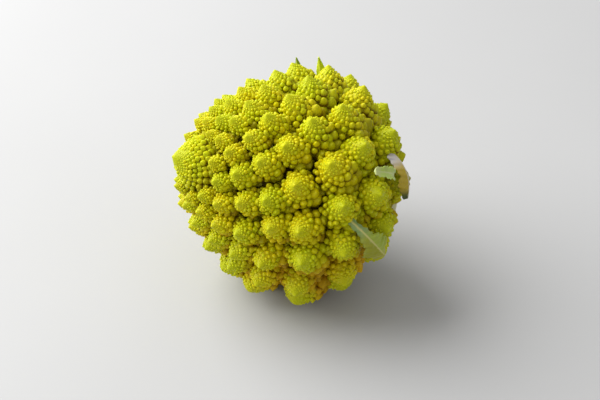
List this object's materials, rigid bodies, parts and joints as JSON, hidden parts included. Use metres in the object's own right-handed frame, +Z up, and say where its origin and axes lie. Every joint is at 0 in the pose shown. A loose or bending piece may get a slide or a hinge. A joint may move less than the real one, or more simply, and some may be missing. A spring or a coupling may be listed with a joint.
{
  "type": "romanesco head",
  "caption": "Romanesco head lying on its side: pointed yellow-green florets in spirals over a domed curd, with a pale cut stalk, leaf stubs and a few small leaves",
  "frame": {"origin": "on the table, under the middle of the head's box", "axes": "+Z up from the table, +X towards the stalk, the tip of the head towards -X, the viewer at -Y"},
  "size_m": [0.1392, 0.1446, 0.1374],
  "materials": {
    "curd": null,
    "stalk": null,
    "leaf_waxy": null,
    "leaf_fresh": null
  },
  "bodies": {
    "root": {"curd": "curd", "stalk": "stalk", "leaf_base": "leaf_waxy", "leaf_front": "leaf_waxy", "leaf_side": "leaf_waxy", "leaf_top_left": "leaf_fresh", "leaf_top_right": "leaf_fresh"}
  },
  "joints": []
}
